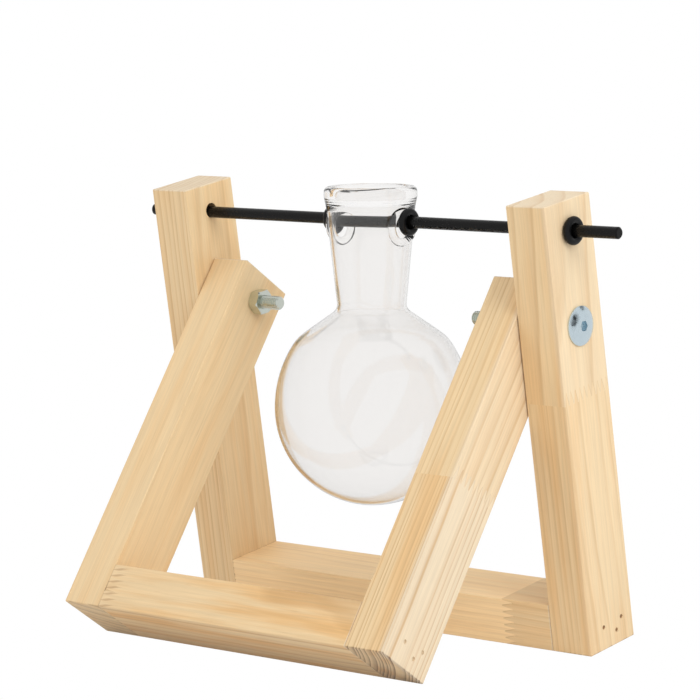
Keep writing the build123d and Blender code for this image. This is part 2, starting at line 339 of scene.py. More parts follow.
# What the sawn feet add to the power of a line's darkness, which broadens it, and how much the
# lines rise above the fibres
FOOT_BROADENING = -0.62
LINE_RISE = 0.5


def pine_figure_group():
    """Growth rings round a far pith, with wander, one knot, fibres and resin flecks, and painted light on
    one side and the top end, in millimetres.
    """
    group, given, result = new_group(
        "Pine figure",
        {
            "Vector": ("Place", "Seed", *FIGURE_VECTORS),
            "Float": ("Stick Length", *FIGURE_NUMBERS),
            "Color": PINE_COLOURS,
        },
        {"Color": ("Color",), "Float": ("Roughness", "Height")},
    )
    place = given["Place"]
    seeded = vectors(group, "ADD", place, given["Seed"])

    # Distance from the pith, which drifts along the stick and is pushed aside round the knot
    axes = add_node(group, "ShaderNodeSeparateXYZ", {0: place}).outputs
    drifted = scaled(group, given["Drift"], axes["Z"])
    from_pith = vectors(group, "SUBTRACT", vectors(group, "SUBTRACT", place, given["Pith"]), drifted)
    flat = vectors(group, "MULTIPLY", from_pith, (1.0, 1.0, 0.0))
    radius = vectors(group, "LENGTH", flat, out="Value")
    wander = maths(group, "SUBTRACT", noise(group, seeded, WANDER_SCALE), 0.5)
    radius = maths(group, "MULTIPLY_ADD", wander, given["Wander"], radius)
    to_knot = vectors(group, "MULTIPLY", vectors(group, "SUBTRACT", place, given["Knot"]), KNOT_STRETCH)
    knot_distance = vectors(group, "LENGTH", to_knot, out="Value")
    knot_share = maths(group, "DIVIDE", knot_distance, given["Knot Reach"])
    knot_square = maths(group, "POWER", knot_share, 2.0)
    knot_fall = maths(group, "EXPONENT", maths(group, "MULTIPLY", knot_square, -1.0))
    radius = maths(group, "MULTIPLY_ADD", knot_fall, given["Knot Rise"], radius)

    # Rings of uneven width and darkness
    rings = maths(group, "DIVIDE", radius, given["Ring Gap"])
    inputs = {"W": rings, "Scale": UNEVEN_SCALE, "Detail": 1.0}
    uneven = add_node(group, "ShaderNodeTexNoise", inputs, noise_dimensions="1D").outputs[0]
    rings = maths(group, "MULTIPLY_ADD", uneven, UNEVEN_REACH, rings)
    ramp = add_node(group, "ShaderNodeValToRGB", {0: maths(group, "FRACT", rings)})
    while len(ramp.color_ramp.elements) < len(RING_SHARES):
        ramp.color_ramp.elements.new(0.5)
    for element, (position, darkness) in zip(ramp.color_ramp.elements, RING_SHARES):
        element.position = position
        element.color = (darkness, darkness, darkness, 1)
    inputs = {"W": maths(group, "FLOOR", rings)}
    own = add_node(group, "ShaderNodeTexWhiteNoise", inputs, noise_dimensions="1D").outputs[0]
    own_darkness = maths(group, "MULTIPLY_ADD", own, 1.0 - FAINTEST_LINE, FAINTEST_LINE)
    line = maths(group, "MULTIPLY", ramp.outputs[0], own_darkness)
    patches = between(group, noise(group, seeded, PATCH_SCALE), *PATCH_STEP)
    line = maths(group, "MULTIPLY", line, patches)
    line = maths(group, "MULTIPLY", line, given["Line Strength"], clamp=True)

    # Warm streaks, and painted light: the side towards the key lamp and the top end drawn paler, as the
    # light falls on them
    warm = between(group, noise(group, seeded, WARM_SCALE, detail=3.0), *WARM_STEP)
    warm = maths(group, "MULTIPLY", warm, given["Warmth"], clamp=True)
    shade = mix(group, warm, given["Early Wood"], given["Warm Wood"])
    pale = maths(group, "MULTIPLY", between(group, axes["X"], *PAINTED_SIDE_LIGHT_STEP), given["Pallor"])
    below_top = maths(group, "SUBTRACT", given["Stick Length"], axes["Z"])
    pale = maths(group, "MAXIMUM", pale, between(group, below_top, *PAINTED_TOP_LIGHT_STEP))
    shade = mix(group, pale, shade, given["Painted Light Wood"])

    # The lines, darker and broader on the sawn foot
    foot = between(group, axes["Z"], *FOOT_STEP)
    late = mix(group, foot, given["Late Wood"], given["End Line"])
    broadened = maths(group, "POWER", line, maths(group, "MULTIPLY_ADD", foot, FOOT_BROADENING, 1.0))
    shade = mix(group, broadened, shade, late)

    # Flecks and fibres
    fleck = between(group, noise(group, seeded, FLECK_SCALE, detail=1.0), *FLECK_STEP)
    shade = mix(group, fleck, shade, given["Late Wood"])
    fibre = noise(group, seeded, FIBRE_SCALE, detail=3.0, roughness=0.6)
    shade = scaled(group, shade, between(group, fibre, *FIBRE_TONE_STEP))
    feed(group, result["Color"], scaled(group, shade, given["Tone"]))
    feed(group, result["Roughness"], between(group, fibre, *FIBRE_ROUGHNESS_STEP))
    feed(group, result["Height"], maths(group, "MULTIPLY_ADD", line, LINE_RISE, fibre))
    return group


# Where the glue line starts to show, from a finger's base, at 0, to its tip, at 1
FINGER_BASE_STEP = (0.02, 0.15)


def finger_glue_group():
    """The zigzag glue line of a finger joint, in millimetres."""
    group, given, result = new_group(
        "Finger glue",
        {"Float": ("Along", "Across", "Seam", "Finger Length", "Pitch", "Line", "Flank Share", "Strength")},
        {"Float": ("Mask",)},
    )
    half_pitch = maths(group, "MULTIPLY", given["Pitch"], 0.5)
    wave = maths(group, "DIVIDE", maths(group, "PINGPONG", given["Across"], half_pitch), half_pitch)
    zigzag = maths(group, "MULTIPLY_ADD", wave, given["Finger Length"], given["Seam"])
    off = maths(group, "ABSOLUTE", maths(group, "SUBTRACT", given["Along"], zigzag))
    steepness = maths(group, "DIVIDE", half_pitch, given["Finger Length"])
    away = maths(group, "MULTIPLY", off, steepness)
    turn = maths(group, "FRACT", maths(group, "DIVIDE", given["Across"], given["Pitch"]))
    second_flank = maths(group, "LESS_THAN", turn, 0.5)
    flank_loss = maths(group, "SUBTRACT", given["Flank Share"], 1.0)
    shown = maths(group, "MULTIPLY_ADD", second_flank, flank_loss, 1.0)
    shown = maths(group, "MULTIPLY", shown, between(group, wave, *FINGER_BASE_STEP))
    line = between(group, away, 0.0, given["Line"], 1.0, 0.0)
    line = maths(group, "MULTIPLY", line, given["Strength"])
    feed(group, result["Mask"], maths(group, "MULTIPLY", line, shown))
    return group


# The figure of each length of pine, in millimetres on its stick's own axes: X across it, Y to the
# back and Z along it. The pith is where the tree's middle would lie beside the stick.
# Painted light: each length gives its own share by which its side towards the key lamp is drawn paler
PINE_FIGURES = {
    "left_post": dict(
        pith=(-90, -10, 0), drift=(0.012, 0, 0), ring_gap=2.9, wander=2.5,
        line_strength=0.75, warmth=0.35, seed=11,
    ),
    "right_post_lower": dict(
        pith=(-75, -20, 0), drift=(-0.02, 0.02, 0), ring_gap=2.9, wander=2.0,
        line_strength=0.5, warmth=0.5, seed=23, pallor=0.2,
    ),
    "right_post_upper": dict(
        pith=(-40, -8, 0), drift=(0.055, 0, 0), ring_gap=7.5, wander=5.0,
        line_strength=0.5, warmth=0.35, seed=37, pallor=0.4,
    ),
    "rear_rail_long_piece": dict(
        pith=(85, -14, 0), drift=(0.01, 0.0, 0), ring_gap=2.5, wander=2.5,
        line_strength=0.3, warmth=0.15, seed=41, tone=1.18,
    ),
    "rear_rail_short_piece": dict(
        pith=(90, -20, 0), drift=(0.03, 0.0, 0), ring_gap=3.0, wander=2.5,
        line_strength=0.5, warmth=0.3, seed=53,
    ),
    "left_leg": dict(
        pith=(34, -62, 0), drift=(0.01, 0.02, 0), ring_gap=4.4, wander=4.0,
        line_strength=0.10, warmth=0.3, seed=67, knot=(20, 14, 88), knot_rise=9.0, knot_reach=13.0,
    ),
    "right_leg_lower": dict(
        pith=(-62, -28, 0), drift=(0.0, 0, 0), ring_gap=2.0, wander=1.2,
        line_strength=0.95, warmth=0.6, seed=71, pallor=0.75,
    ),
    "right_leg_upper": dict(
        pith=(-60, -30, 0), drift=(0.01, 0, 0), ring_gap=3.0, wander=2.0,
        line_strength=0.7, warmth=0.5, seed=83, pallor=0.5,
    ),
    "front_rail": dict(
        pith=(6, -75, 0), drift=(0.0, 0.01, 0), ring_gap=4.6, wander=9.0,
        line_strength=0.95, warmth=0.9, seed=97,
    ),
    "front_rail_end_block": dict(
        pith=(0, -60, 0), drift=(0.0, 0, 0), ring_gap=2.5, wander=1.0,
        line_strength=0.5, warmth=0.2, seed=101,
    ),
}

# Each stick: the nodes of its lengths, whether it stands in the tall frame, and whether it is a rail
PINE_STICKS = [
    (["left_post"], True, False),
    (["right_post_lower", "right_post_upper"], True, False),
    (["rear_rail_long_piece", "rear_rail_short_piece"], True, True),
    (["left_leg"], False, False),
    (["right_leg_lower", "right_leg_upper"], False, False),
    (["front_rail_end_block", "front_rail"], False, True),
]

# How each finger joint shows: half the glue line's width in millimetres, how much of each finger's
# second flank shows, and how strongly the line shows
SEAM_LOOKS = {
    "right_post_lower": (0.16, 0.4, 0.35),
    "right_leg_lower": (0.16, 0.5, 0.35),
    "rear_rail_long_piece": (0.2, 0.1, 0.5),
    "front_rail_end_block": (1.0, 0.0, 0.45),
}

# What a figure has that says nothing of it, and how far apart the lengths lie in the noise
PLAIN_FIGURE = dict(pallor=0.0, tone=1.0, knot=(0, 0, -1000), knot_rise=0.0, knot_reach=1.0)
SEED_STEP = Vector((13.0, 7.0, 29.0))

# The fibres' height and the planed wood's shine
FIBRE_HEIGHT = 0.04 * MM
PINE_GLOSS = 0.35


def stick_box(names, turn):
    """A stick's lowest and highest corners on its own axes, from its nodes."""
    own_axes = turn.inverted()
    points = [own_axes @ vertex.co for name in names for vertex in frame["nodes"][name].data.vertices]
    return [Vector([end(point[axis] for point in points) for axis in range(3)]) for end in (min, max)]


def pine_material(name, figure, turn, corner, stick_length, seam, settings, groups):
    """One length of pine. Its pattern is solid, so that the lines run on round every edge."""
    material, tree, shader = new_material("Pine " + name.replace("_", " "))
    inputs = {"Vector": object_place(tree), "Location": turn @ corner, "Rotation": turn.to_euler()}
    inputs["Scale"] = (MM, MM, MM)
    place = add_node(tree, "ShaderNodeMapping", inputs, vector_type="TEXTURE").outputs[0]
    inputs = {"Place": place, "Seed": SEED_STEP * figure["seed"], "Stick Length": stick_length}
    for socket in FIGURE_VECTORS + FIGURE_NUMBERS:
        inputs[socket] = figure[snake(socket)]
    for socket in PINE_COLOURS:
        inputs[socket] = paint(getattr(settings, snake(socket)))
    pine = use_group(tree, groups["figure"], inputs)
    shade = pine["Color"]
    if seam is not None:
        axes = add_node(tree, "ShaderNodeSeparateXYZ", {0: place}).outputs
        seam_height, across_axis, pitch, line, flank_share, strength = seam
        glue = use_group(
            tree,
            groups["glue"],
            {
                "Along": axes["Z"],
                "Across": axes[across_axis],
                "Seam": seam_height,
                "Finger Length": settings.finger_length / MM,
                "Pitch": pitch / MM,
                "Line": line,
                "Flank Share": flank_share,
                "Strength": strength,
            },
        )
        shade = mix(tree, glue["Mask"], shade, paint(settings.glue))
    feed(tree, shader.inputs["Base Color"], shade)
    feed(tree, shader.inputs["Roughness"], pine["Roughness"])
    shader.inputs["Specular IOR Level"].default_value = PINE_GLOSS
    bump(tree, shader, pine["Height"], FIBRE_HEIGHT)
    return material


class VASE_OT_pine(bpy.types.Operator):
    """Give every length of pine in the two frames its own grain"""

    bl_idname = "vase.pine"
    bl_label = "Dress The Pine"

    def execute(self, context):
        settings = context.scene.vase_pine
        groups = {"figure": pine_figure_group(), "glue": finger_glue_group()}
        for names, in_tall_frame, is_rail in PINE_STICKS:
            turn = Matrix.Rotation(settings.post_lean if in_tall_frame else -settings.leg_lean, 3, "X")
            if is_rail:
                turn = turn @ Matrix.Rotation(math.radians(90), 3, "Y")
            corner, far_corner = stick_box(names, turn)
            stick_length = (far_corner.z - corner.z) / MM
            seam = None
            if len(names) > 1:
                top_of_first = stick_box(names[:1], turn)[1].z
                seam_height = (top_of_first - corner.z - settings.finger_length) / MM
                pitch = settings.rail_finger_pitch if is_rail else settings.post_finger_pitch
                seam = (seam_height, "X" if is_rail else "Y", pitch, *SEAM_LOOKS[names[0]])
            for name in names:
                figure = PLAIN_FIGURE | PINE_FIGURES[name]
                dress(name, pine_material(name, figure, turn, corner, stick_length, seam, settings, groups))
        return {"FINISHED"}


# Metal and rubber

# Where the mottle's noise goes from smooth to rough, and how far the plating's roughness then goes
# from its mean
CLOUD_STEP = (0.35, 0.65)
ROUGHNESS_SPREAD = 0.3


def wear_group():
    """Fine mottling of a plated or moulded surface, in millimetres."""
    group, given, result = new_group(
        "Fine mottle", {"Vector": ("Place",), "Float": ("Size",)}, {"Float": ("Mask", "Height")}
    )
    scale = maths(group, "DIVIDE", 1.0, given["Size"])
    inputs = {"Vector": given["Place"], "Scale": scale, "Detail": 3.0, "Roughness": 0.6}
    cloud = add_node(group, "ShaderNodeTexNoise", inputs).outputs[0]
    feed(group, result["Mask"], between(group, cloud, *CLOUD_STEP))
    feed(group, result["Height"], cloud)
    return group


def plain_material(mottle, name, shade, metallic, roughness_range, mottle_size, mottle_height, gloss):
    """A smooth finish whose roughness and surface vary finely, by a mottle in millimetres."""
    material, tree, shader = new_material(name)
    place = scaled(tree, object_place(tree), 1 / MM)
    worn = use_group(tree, mottle, {"Place": place, "Size": mottle_size})
    shader.inputs["Base Color"].default_value = paint(shade)
    shader.inputs["Metallic"].default_value = metallic
    shader.inputs["Specular IOR Level"].default_value = gloss
    feed(tree, shader.inputs["Roughness"], between(tree, worn["Mask"], 0.0, 1.0, *roughness_range))
    bump(tree, shader, worn["Height"], mottle_height * MM)
    return material


class VASE_OT_small_parts(bpy.types.Operator):
    """Finish the nuts, brads, rod and rubber rings"""

    bl_idname = "vase.small_parts"
    bl_label = "Finish The Small Parts"

    def execute(self, context):
        settings = context.scene.vase_metal
        mean = settings.zinc_roughness
        plated = (mean * (1 - ROUGHNESS_SPREAD), mean * (1 + ROUGHNESS_SPREAD))

        # Each finish: its name, colour, metal, roughness, the mottle's size and height, and its gloss
        finishes = (
            ("Bright zinc", settings.zinc, 1.0, plated, 2.0, 0.003, 0.5),
            ("Thread zinc", settings.thread_zinc, 1.0, plated, 2.0, 0.003, 0.5),
            ("Brad steel", settings.brad_steel, 0.3, (0.45, 0.6), 0.4, 0.01, 0.5),
            ("Filled brad holes", settings.brad_filler, 0.0, (0.5, 0.65), 0.4, 0.01, 0.5),
            ("Black satin rod", settings.rod_black, 0.0, (0.26, 0.36), 0.5, 0.006, 0.2),
            ("Black rubber", settings.rubber_black, 0.0, (0.3, 0.42), 0.8, 0.012, 0.25),
        )
        mottle = wear_group()
        made = {finish[0]: plain_material(mottle, *finish) for finish in finishes}
        for name in frame["nodes"]:
            if "nut" in name:
                dress(name, made["Thread zinc"])
            elif "brads" in name:
                dress(name, made["Filled brad holes" if "leg" in name else "Brad steel"])
            elif name == "rod":
                dress(name, made["Black satin rod"])
            elif "ring" in name:
                dress(name, made["Black rubber"])
        return {"FINISHED"}


# Modelling

# The turn that lays a cylinder along the X axis, and how near two vertices are made one
LYING = (0, math.radians(90), 0)
WELD = 0.002 * MM


def enter(mode):
    """Change to edit mode or object mode."""
    bpy.ops.object.mode_set(mode=mode)


def take_all():
    """In edit mode, select the whole mesh."""
    bpy.ops.mesh.select_all(action="SELECT")


def deselect_all():
    """Leave edit mode with nothing selected."""
    if bpy.context.mode != "OBJECT":
        enter("OBJECT")
    bpy.ops.object.select_all(action="DESELECT")


def pick(piece):
    """Select one piece and make it active."""
    deselect_all()
    piece.select_set(True)
    bpy.context.view_layer.objects.active = piece


def primitive(kind, name, **settings):
    """A new primitive, alone in the selection."""
    deselect_all()
    getattr(bpy.ops.mesh, f"primitive_{kind}_add")(**settings)
    piece = bpy.context.object
    piece.name = name
    bpy.ops.object.transform_apply(location=True, rotation=True, scale=True)
    return piece


def lying_bar(name, vertices, radius, depth, middle, height=0):
    """A cylinder along the X axis, or a bar with as many flats."""
    return primitive(
        "cylinder",
        name,
        vertices=vertices,
        radius=radius,
        depth=depth,
        location=(middle, 0, height),
        rotation=LYING,
    )


def apply_modifier(piece, kind, **settings):
    """Add a modifier and apply it."""
    pick(piece)
    modifier = piece.modifiers.new(kind.title(), kind)
    for name, value in settings.items():
        setattr(modifier, name, value)
    bpy.ops.object.modifier_apply(modifier=modifier.name)


def join(piece, other):
    """Make another piece's mesh part of this one's."""
    pick(piece)
    other.select_set(True)
    bpy.ops.object.join()


def combine(piece, other, operation):
    """Join, cut or trim a piece by another, which is used up."""
    apply_modifier(piece, "BOOLEAN", object=other, operation=operation, solver="EXACT")
    bpy.data.objects.remove(other)


def select_faces(piece, wanted):
    """In edit mode, select the faces that a test of their normal picks."""
    enter("EDIT")
    bpy.ops.mesh.select_mode(type="FACE")
    bpy.ops.mesh.select_all(action="DESELECT")
    enter("OBJECT")
    for face in piece.data.polygons:
        face.select = wanted(face.normal)
    enter("EDIT")


class Pen:
    """Draws a line in the XZ plane, by extruding and spinning the vertex at its end."""

    def __init__(self, name, x, z):
        self.place = Vector((x, z))
        self.line_mesh = primitive("plane", name, size=MM, location=(x, 0, z))
        enter("EDIT")
        bpy.ops.mesh.select_mode(type="VERT")
        take_all()
        bpy.ops.mesh.merge(type="CENTER")
        take_all()

    def line_by(self, step):
        """Carry the line straight on by a step."""
        step = Vector(step)
        bpy.ops.mesh.extrude_region_move(TRANSFORM_OT_translate={"value": (step.x, 0, step.y)})
        self.place += step

    def line_to(self, place):
        """Carry the line straight on to a place."""
        self.line_by(Vector(place) - self.place)

    def arc(self, centre, sweep, steps):
        """Carry the line on round a centre. A positive sweep turns from +X towards +Z."""
        centre = Vector(centre)
        bpy.ops.mesh.spin(steps=steps, angle=sweep, center=(centre.x, 0, centre.y), axis=(0, 1, 0))
        self.place = centre + Matrix.Rotation(sweep, 2) @ (self.place - centre)

    def lift(self):
        """Leave the drawing, and give its piece."""
        enter("OBJECT")
        return self.line_mesh


def towards(direction):
    """A step of one unit in a direction, from +X towards +Z."""
    return Vector((math.cos(direction), math.sin(direction)))


# Pivot bolts

def bolt_head(settings):
    """The flat head with its sloped rim and hexagon socket, its underside at zero on the X axis."""
    head = lying_bar("bolt_head", 96, settings.head_radius, settings.head_height, settings.head_height / 2)
    select_faces(head, lambda normal: normal.x > 0.9)
    bpy.ops.mesh.inset(thickness=settings.head_bevel)
    bpy.ops.mesh.select_mode(type="VERT")
    bpy.ops.mesh.select_all(action="DESELECT")
    enter("OBJECT")
    for vertex in head.data.vertices:
        on_rim = vertex.co.yz.length > settings.head_radius - settings.head_bevel / 2
        vertex.select = on_rim and vertex.co.x > settings.head_height / 2
    enter("EDIT")
    bpy.ops.transform.translate(value=(settings.head_rim_height - settings.head_height, 0, 0))
    enter("OBJECT")
    combine(head, bolt_shank(settings), "UNION")
    socket = lying_bar("socket", 6, settings.socket_radius, settings.socket_depth * 2, settings.head_height)
    combine(head, socket, "DIFFERENCE")
    apply_modifier(
        head,
        "BEVEL",
        width=settings.head_edge,
        segments=3,
        limit_method="ANGLE",
        angle_limit=math.radians(25),
    )
    return head


def bolt_thread(settings):
    """The threaded end: one turn of the thread's outline, screwed along the X axis."""
    pitch = settings.thread_pitch
    root = settings.thread_root_radius
    depth = settings.bolt_radius - root
    tip = -settings.bolt_length

    # One turn's outline, in shares of the pitch, from the middle of one flat to that of the next
    flat_share = 0.15
    flank_share = 0.29
    crest_share = 0.12
    spare_turns = 2
    pen = Pen("thread", tip - spare_turns * pitch, root)
    pen.line_by((flat_share * pitch, 0))
    pen.line_by((flank_share * pitch, depth))
    pen.line_by((crest_share * pitch, 0))
    pen.line_by((flank_share * pitch, -depth))
    pen.line_by((flat_share * pitch, 0))
    thread = pen.lift()
    apply_modifier(
        thread,
        "SCREW",
        axis="X",
        screw_offset=pitch,
        iterations=round(settings.thread_length / pitch) + 2 * spare_turns,
        steps=40,
        render_steps=40,
    )
    enter("EDIT")
    take_all()
    bpy.ops.mesh.remove_doubles(threshold=WELD)

    # The spare turns are cut off square, beside the vertices
    beside_vertices = 0.513 * pitch
    low_cut = tip - beside_vertices
    high_cut = tip + settings.thread_length - beside_vertices
    for cut, below in ((low_cut, True), (high_cut, False)):
        take_all()
        bpy.ops.mesh.bisect(
            plane_co=(cut, 0, 0), plane_no=(1, 0, 0), clear_inner=below, clear_outer=not below
        )
    take_all()
    bpy.ops.mesh.fill_holes(sides=0)
    bpy.ops.mesh.normals_make_consistent(inside=False)
    enter("OBJECT")
    envelope = lying_bar("thread_envelope", 64, settings.bolt_radius, settings.bolt_length, tip / 2)
    select_faces(envelope, lambda normal: normal.x < -0.9)
    bpy.ops.mesh.bevel(offset=settings.tip_chamfer, segments=1, affect="EDGES")
    enter("OBJECT")
    combine(thread, envelope, "INTERSECT")
    return thread


def bolt_shank(settings):
    """The plain part under the head, which the wood hides. It starts inside the head's rim."""
    radius = settings.bolt_radius - 0.02 * MM
    plain = settings.bolt_length - settings.thread_length
    inside = settings.head_rim_height
    return lying_bar("bolt_shank", 64, radius, plain + inside, (inside - plain) / 2)


class VASE_OT_pivot_bolts(bpy.types.Operator):
    """Model the two threaded bolts that the frames turn on"""

    bl_idname = "vase.pivot_bolts"
    bl_label = "Model The Pivot Bolts"

    def execute(self, context):
        settings = context.scene.vase_metal
        bolt = bolt_head(settings)
        join(bolt, bolt_thread(settings))
        bpy.ops.object.shade_smooth_by_angle(angle=math.radians(28))
        for plating in ("Bright zinc", "Thread zinc"):
            bolt.data.materials.append(bpy.data.materials[plating])
        for face in bolt.data.polygons:
            face.material_index = int(face.center.x < settings.thread_length - settings.bolt_length)
        for side, node in ((1, "right_pivot_bolt"), (-1, "left_pivot_bolt")):
            piece = bolt.copy()
            piece.data = bolt.data.copy()
            piece.name = node.replace("bolt", "threaded_bolt")
            context.scene.collection.objects.link(piece)
            low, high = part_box(node)
            outer_face = high.x if side > 0 else low.x
            under_head = outer_face - side * settings.head_height
            turn = Matrix.Rotation(0 if side > 0 else math.pi, 4, "Z")
            piece.data.transform(Matrix.Translation((under_head, BOLT_AXIS.y, BOLT_AXIS.z)) @ turn)
            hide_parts(node)
            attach(piece, "tall_frame")
        bpy.data.objects.remove(bolt)
        return {"FINISHED"}


# Flask

# How far towards the middle the slanted tint reaches, and the glass's waves: their scale per
# millimetre, their effect on the roughness and their height
SLANT_BLEND = 0.25
WAVE_SCALE = (0.03, 0.03, 0.05)
WAVE_ROUGHNESS_STEP = (0.3, 0.7, 0.0, 0.015)
WAVE_HEIGHT = 0.08 * MM


class Neck:
    """The line of the neck's wall, which widens upwards."""

    def __init__(self, settings, inset):
        self.top = settings.belly_to_hanger + settings.rim_above_hanger
        widening = settings.neck_top_radius - settings.neck_waist_radius
        self.taper = widening / (self.top - settings.waist_height)
        self.lean = math.atan(self.taper)
        self.facing = towards(-self.lean)
        self.foot_radius = settings.neck_waist_radius - inset
        self.foot_height = settings.waist_height
        self.offset = self.facing.dot(Vector((self.foot_radius, self.foot_height)))

    def at(self, height):
        """The point of the wall at a height."""
        return Vector((self.foot_radius + self.taper * (height - self.foot_height), height))


def draw_wall(name, settings, inset):
    """The bulb's outline, drawn in by an inset, from its foot to where the neck starts."""
    facing = math.radians(90) - settings.shoulder_angle
    arc_x = settings.belly_radius - settings.upper_arc_radius
    arc_radius = settings.upper_arc_radius - inset
    round_radius = settings.shoulder_round - inset
    apex = settings.belly_radius + settings.shoulder_apex_rise - inset / math.sin(facing)
    round_offset = apex * math.sin(facing) - round_radius - arc_x * math.cos(facing)
    arc_turn = facing - math.acos(round_offset / (arc_radius - round_radius))
    round_centre = Vector((arc_x, 0)) + towards(arc_turn) * (arc_radius - round_radius)
    pen = Pen(name, 0, inset - settings.belly_radius)
    pen.arc((0, 0), math.radians(90), steps=56)
    pen.arc((arc_x, 0), arc_turn, steps=14)
    pen.arc(round_centre, facing - arc_turn, steps=18)

    # The neck's fillet touches the shoulder's line and the neck's
    neck = Neck(settings, inset)
    fillet = settings.neck_round + inset
    lines = Matrix((towards(facing), neck.facing))
    centre = lines.inverted() @ Vector((apex * math.sin(facing) + fillet, neck.offset + fillet))
    pen.line_to(centre - towards(facing) * fillet)
    pen.arc(centre, -(facing + neck.lean), steps=12)
    return pen


def draw_bead(pen, settings):
    """Carry the outer line on over the thick rim, to where it meets the inner wall."""
    neck = Neck(settings, settings.wall)
    outer_neck = Neck(settings, 0)
    round_radius = settings.bead_width / 2
    bead_x = settings.neck_top_radius - round_radius
    low_centre = Vector((bead_x, neck.top - settings.bead_height + round_radius))

    # The bead's round goes on for 45 degrees under its inner side, and a counter-round of such a size
    # that it touches the inner wall takes it over
    under = math.radians(45)
    down = towards(math.radians(180) + under)
    across = neck.facing.dot(down)
    run_in = (neck.offset - neck.facing.dot(low_centre) - round_radius * across) / (1 + across)
    run_in_centre = low_centre + down * (round_radius + run_in)
    pen.line_to(outer_neck.at(neck.top - settings.bead_height - settings.bead_run_out))
    pen.line_to((settings.neck_top_radius, low_centre.y))
    pen.line_to((settings.neck_top_radius, neck.top - round_radius))
    pen.arc((bead_x, neck.top - round_radius), math.radians(180), steps=24)
    pen.line_to((bead_x - round_radius, low_centre.y))
    pen.arc(low_centre, under, steps=8)
    pen.arc(run_in_centre, -(under + neck.lean), steps=8)
    return pen.place


def glass_material(settings):
    """Clear blown glass, darker where it is seen at a slant, that lets most light through its shadow."""
    material, tree, shader = new_material("Clear glass")
    place = scaled(tree, object_place(tree), 1 / MM)
    slant = add_node(tree, "ShaderNodeLayerWeight", {"Blend": SLANT_BLEND}).outputs["Facing"]
    shade = mix(tree, maths(tree, "POWER", slant, 2.0), paint(settings.tint), paint(settings.edge_tint))
    feed(tree, shader.inputs["Base Color"], shade)
    shader.inputs["Transmission Weight"].default_value = 1.0
    shader.inputs["IOR"].default_value = settings.refraction
    waves = noise(tree, place, WAVE_SCALE, detail=1.0)
    feed(tree, shader.inputs["Roughness"], between(tree, waves, *WAVE_ROUGHNESS_STEP))
    bump(tree, shader, waves, WAVE_HEIGHT)
    path = tree.nodes.new("ShaderNodeLightPath").outputs
    unseen = maths(tree, "MAXIMUM", path["Is Shadow Ray"], path["Is Diffuse Ray"])
    alpha = maths(tree, "MULTIPLY_ADD", unseen, -settings.clear_shadow, 1.0)
    feed(tree, shader.inputs["Alpha"], alpha)
    return material


class VASE_OT_flask(bpy.types.Operator):
    """Model the blown flask and give it clear glass"""

    bl_idname = "vase.flask"
    bl_label = "Model The Flask"

    def execute(self, context):
        settings = context.scene.vase_glass
        pen = draw_wall("blown_flask", settings, 0)
        meeting = draw_bead(pen, settings)
        flask = pen.lift()
        pen = draw_wall("inner_wall", settings, settings.wall)
        pen.line_to(meeting)
        join(flask, pen.lift())
        enter("EDIT")
        take_all()
        bpy.ops.mesh.spin(steps=192, angle=math.radians(360), center=(0, 0, 0), axis=(0, 0, 1))
        take_all()
        bpy.ops.mesh.remove_doubles(threshold=WELD)
        bpy.ops.mesh.normals_make_consistent(inside=False)
        enter("OBJECT")

        # The side holes, and a raised lip round each
        hole_height = settings.belly_to_hanger - settings.side_hole_drop
        hole_radius = settings.lip_radius - settings.lip_section_radius / 3
        lip_x = Neck(settings, 0).at(hole_height).x + settings.lip_stand - settings.lip_section_radius
        hole = lying_bar("side_holes", 96, hole_radius, settings.belly_radius * 2, 0, hole_height)
        combine(flask, hole, "DIFFERENCE")
        for side in (-1, 1):
            lip = primitive(
                "torus",
                "lip",
                major_segments=96,
                minor_segments=32,
                major_radius=settings.lip_radius,
                minor_radius=settings.lip_section_radius,
                location=(side * lip_x, 0, hole_height),
                rotation=LYING,
            )
            combine(flask, lip, "UNION")
        pick(flask)
        bpy.ops.object.shade_smooth_by_angle(angle=math.radians(30))
        flask.data.transform(Matrix.Translation(FLASK_HANGER - Vector((0, 0, settings.belly_to_hanger))))
        flask.data.materials.clear()
        flask.data.materials.append(glass_material(settings))
        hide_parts("flask")
        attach(flask, "flask")
        return {"FINISHED"}


# Studio

# Where polished pieces mirror something dark: the direction, how many degrees it reaches, and how
# dark it is
DARK_CORNERS = [
    ((0.92, 0.35, 0.17), 12.0, 0.97),
    ((0.96, 0.26, 0.03), 11.0, 0.97),
    ((0.93, 0.27, -0.24), 10.0, 0.6),
    ((0.44, 0.79, 0.43), 9.5, 0.97),
]

# The share of a dark corner's reach that is fully dark, and how bright the rest of the white room is
# in mirrors
DARK_CORE = 0.75
MIRRORED_WHITE = 0.8

WHITE = (1.0, 1.0, 1.0, 1.0)
FLOOR_WHITE = (0.88, 0.88, 0.88, 1.0)
LAMP_SIDE = 0.6
LAMP_TARGET = Vector((0, 0, 0.09))


def backdrop_light(tree, white, lit):
    """Show one shader to the eye, in gloss and through glass, and another to the light."""
    path = tree.nodes.new("ShaderNodeLightPath").outputs
    seen = maths(tree, "ADD", path["Is Camera Ray"], path["Is Glossy Ray"])
    seen = maths(tree, "ADD", seen, path["Is Transmission Ray"], clamp=True)
    return add_node(tree, "ShaderNodeMixShader", {0: seen, 1: lit, 2: white}).outputs[0]


def seen_strength(tree, mirrored):
    """How strong the white is: full to the eye and through glass, and as given in mirrors."""
    path = tree.nodes.new("ShaderNodeLightPath").outputs
    reflected = maths(tree, "SUBTRACT", path["Is Glossy Ray"], path["Is Transmission Ray"], clamp=True)
    return maths(tree, "MULTIPLY_ADD", reflected, maths(tree, "SUBTRACT", mirrored, 1.0), 1.0)


